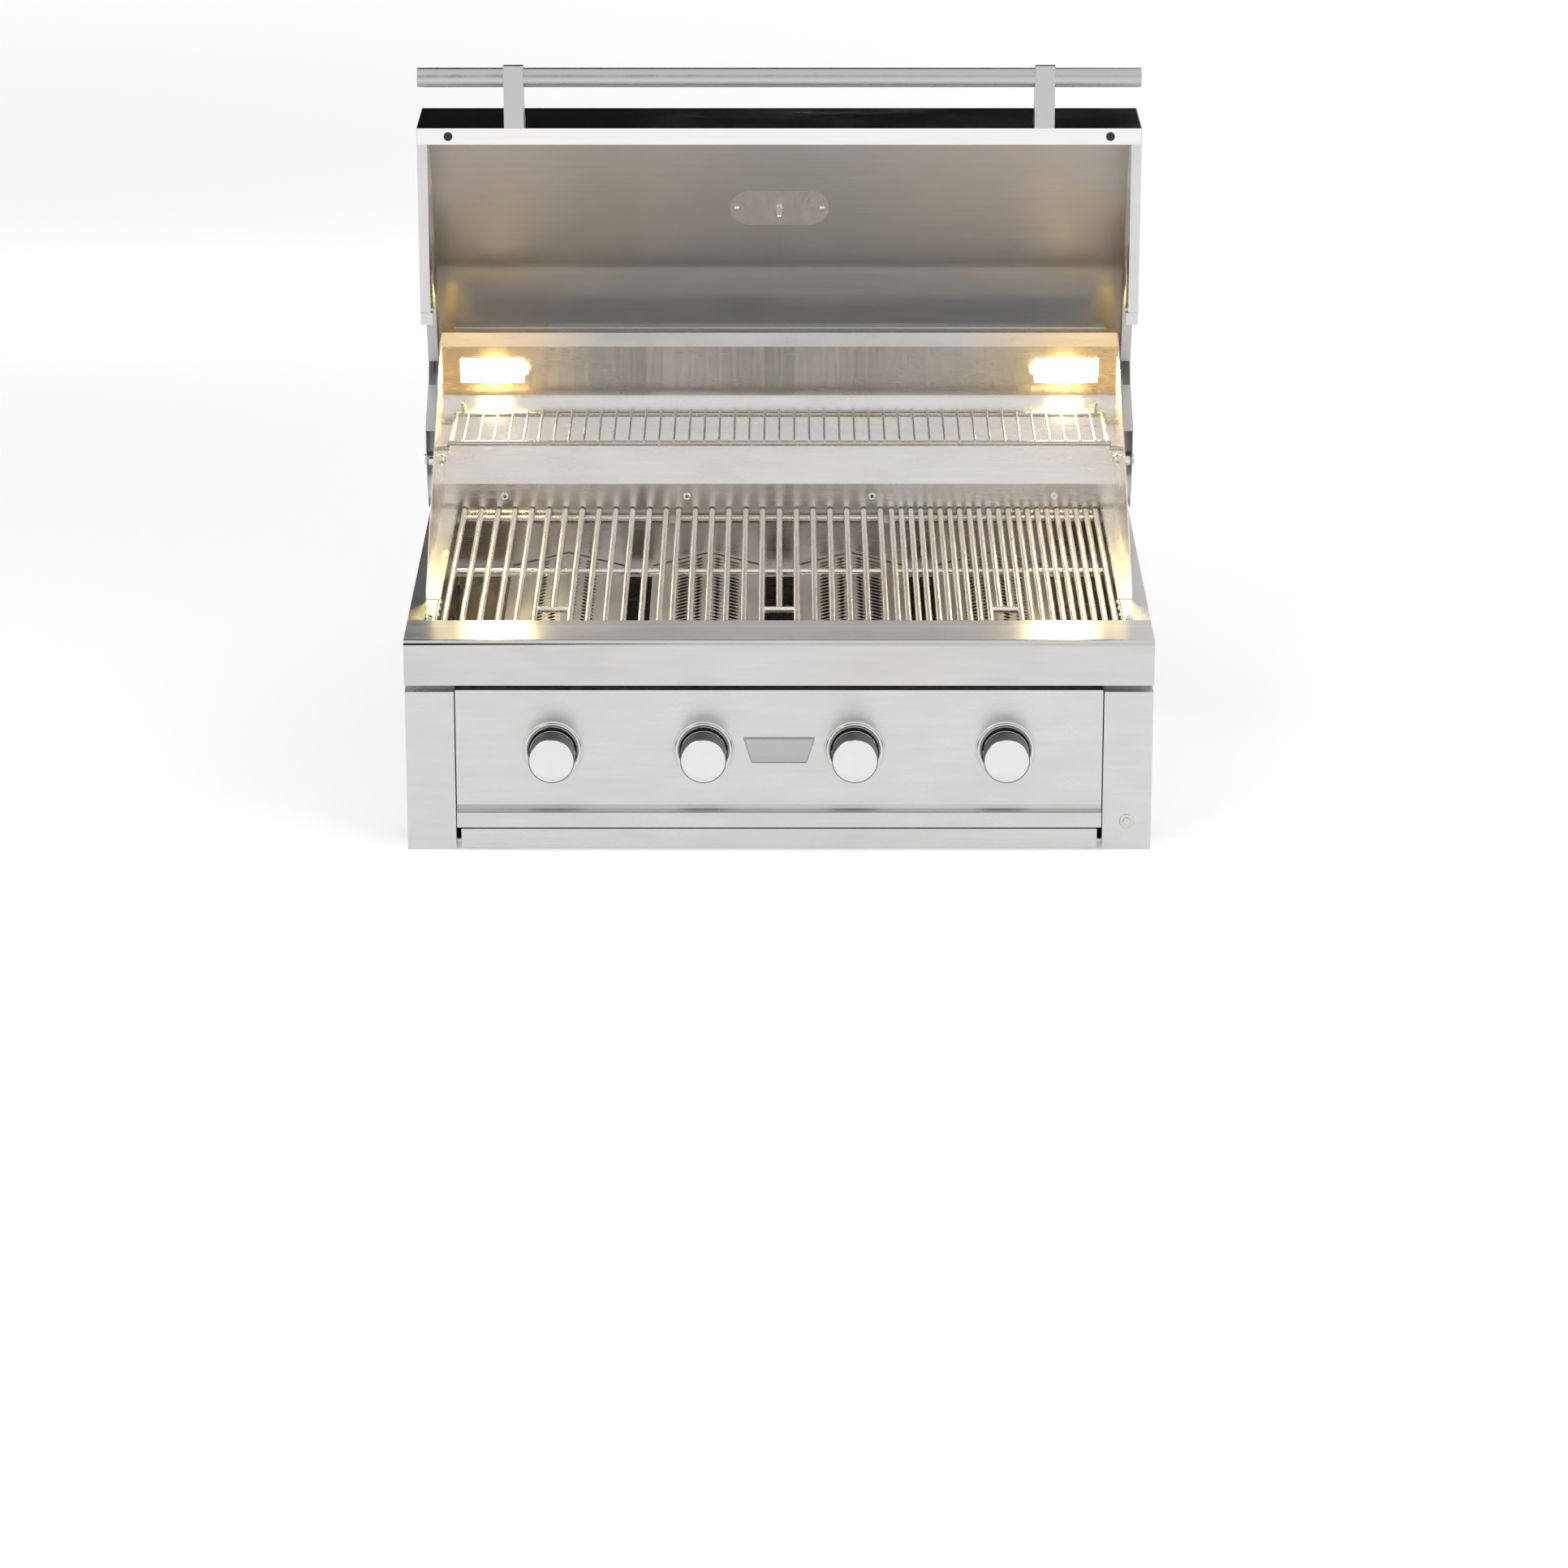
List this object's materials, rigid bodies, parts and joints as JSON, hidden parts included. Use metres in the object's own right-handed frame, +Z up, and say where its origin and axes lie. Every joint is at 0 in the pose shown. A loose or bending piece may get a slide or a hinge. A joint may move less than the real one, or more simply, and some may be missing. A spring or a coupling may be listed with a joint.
{
  "type": "built-in gas barbecue grill",
  "caption": "Built-in stainless gas grill: hinged hood, lift-out grates, warming rack, lamps, tube burners, knobs and a slide-out drip tray.",
  "frame": {"origin": "middle of the whole object's bottom, with the hood open", "axes": "+X along the front to the right as the cook sees it, +Y to the back, +Z up"},
  "size_m": [0.831, 0.711, 0.8048],
  "materials": {
    "brushed_panel": "fine horizontal brushing",
    "inner_steel": "brushed, a little heat-tinted",
    "grate_steel": "drawn round bar",
    "polished_steel": "polished",
    "burner_steel": "heat-darkened",
    "lamp_glass": "frosted, lit",
    "black_rubber": "matt",
    "brass_valve": "machined",
    "white_ceramic": "glazed ceramic"
  },
  "bodies": {
    "casing": {"deck_front": "brushed_panel", "control_panel": "brushed_panel", "lower_rail": "brushed_panel", "front_post_left": "brushed_panel", "front_post_right": "brushed_panel", "button_bezel": "polished_steel", "knob_bezels": "polished_steel", "badge_plate": "brushed_panel", "side_panel_left": "brushed_panel", "side_panel_right": "brushed_panel", "back_panel": "inner_steel", "side_wall_left": "inner_steel", "side_wall_right": "inner_steel", "rear_liner": "inner_steel", "lamp_lenses": "lamp_glass", "lamp_housings": "inner_steel", "firebox": "inner_steel", "burner_1": "burner_steel", "burner_2": "burner_steel", "burner_3": "burner_steel", "burner_4": "burner_steel", "flame_tamer_1": "inner_steel", "flame_tamer_2": "inner_steel", "flame_tamer_3": "inner_steel", "flame_tamer_4": "inner_steel", "gas_manifold": "brushed_panel", "gas_valves": "brass_valve", "igniters": "white_ceramic", "liner_screws": "polished_steel", "hinge_bolts": "polished_steel", "rack_studs": "grate_steel", "tray_runners": "inner_steel"},
    "hood": {"hood_shell": "brushed_panel", "hood_liner": "inner_steel", "hood_side_left": "brushed_panel", "hood_side_right": "brushed_panel", "handle_tube": "polished_steel", "handle_caps": "brushed_panel", "handle_post_left": "brushed_panel", "handle_post_right": "brushed_panel", "hood_bumpers": "black_rubber", "thermometer": "polished_steel", "gauge_plate": "inner_steel", "gauge_screws": "polished_steel"},
    "grate_left": {"grate_left": "grate_steel"},
    "grate_middle": {"grate_middle": "grate_steel"},
    "grate_right": {"grate_right": "grate_steel"},
    "rack": {"warming_rack": "grate_steel"},
    "tray": {"drip_tray": "inner_steel", "tray_front": "brushed_panel"},
    "switch": {"light_button": "polished_steel"},
    "stem_1": {"valve_stem_1": "brass_valve"},
    "knob_1": {"knob_1": "polished_steel"},
    "stem_2": {"valve_stem_2": "brass_valve"},
    "knob_2": {"knob_2": "polished_steel"},
    "stem_3": {"valve_stem_3": "brass_valve"},
    "knob_3": {"knob_3": "polished_steel"},
    "stem_4": {"valve_stem_4": "brass_valve"},
    "knob_4": {"knob_4": "polished_steel"}
  },
  "joints": [
    {"name": "hood_hinge", "type": "hinge", "parent": "casing", "child": "hood", "pos_m": [0, 0.1425, 0.323], "axis": [1, 0, 0], "range_deg": [0, 90]},
    {"name": "grate_left_lift", "type": "slide", "parent": "casing", "child": "grate_left", "axis": [0, 0, 1], "range_m": [0, 0.04]},
    {"name": "grate_middle_lift", "type": "slide", "parent": "casing", "child": "grate_middle", "axis": [0, 0, 1], "range_m": [0, 0.04]},
    {"name": "grate_right_lift", "type": "slide", "parent": "casing", "child": "grate_right", "axis": [0, 0, 1], "range_m": [0, 0.04]},
    {"name": "rack_lift", "type": "slide", "parent": "casing", "child": "rack", "axis": [0, 0, 1], "range_m": [0, 0.03]},
    {"name": "tray_slide", "type": "slide", "parent": "casing", "child": "tray", "axis": [0, -1, 0], "range_m": [0, 0.42]},
    {"name": "light_switch", "type": "slide", "parent": "casing", "child": "switch", "axis": [0, 1, 0], "range_m": [0, 0.002], "stiffness_N_per_m": 600, "springref_m": -0.001},
    {"name": "knob_1_push", "type": "slide", "parent": "casing", "child": "stem_1", "axis": [0, 1, 0], "range_m": [0, 0.003], "stiffness_N_per_m": 1200, "springref_m": -0.004},
    {"name": "knob_1_turn", "type": "hinge", "parent": "stem_1", "child": "knob_1", "pos_m": [-0.2505, -0.3225, 0.117], "axis": [0, -1, 0], "range_deg": [0, 220]},
    {"name": "knob_2_push", "type": "slide", "parent": "casing", "child": "stem_2", "axis": [0, 1, 0], "range_m": [0, 0.003], "stiffness_N_per_m": 1200, "springref_m": -0.004},
    {"name": "knob_2_turn", "type": "hinge", "parent": "stem_2", "child": "knob_2", "pos_m": [-0.0835, -0.3225, 0.117], "axis": [0, -1, 0], "range_deg": [0, 220]},
    {"name": "knob_3_push", "type": "slide", "parent": "casing", "child": "stem_3", "axis": [0, 1, 0], "range_m": [0, 0.003], "stiffness_N_per_m": 1200, "springref_m": -0.004},
    {"name": "knob_3_turn", "type": "hinge", "parent": "stem_3", "child": "knob_3", "pos_m": [0.0835, -0.3225, 0.117], "axis": [0, -1, 0], "range_deg": [0, 220]},
    {"name": "knob_4_push", "type": "slide", "parent": "casing", "child": "stem_4", "axis": [0, 1, 0], "range_m": [0, 0.003], "stiffness_N_per_m": 1200, "springref_m": -0.004},
    {"name": "knob_4_turn", "type": "hinge", "parent": "stem_4", "child": "knob_4", "pos_m": [0.2505, -0.3225, 0.117], "axis": [0, -1, 0], "range_deg": [0, 220]}
  ]
}
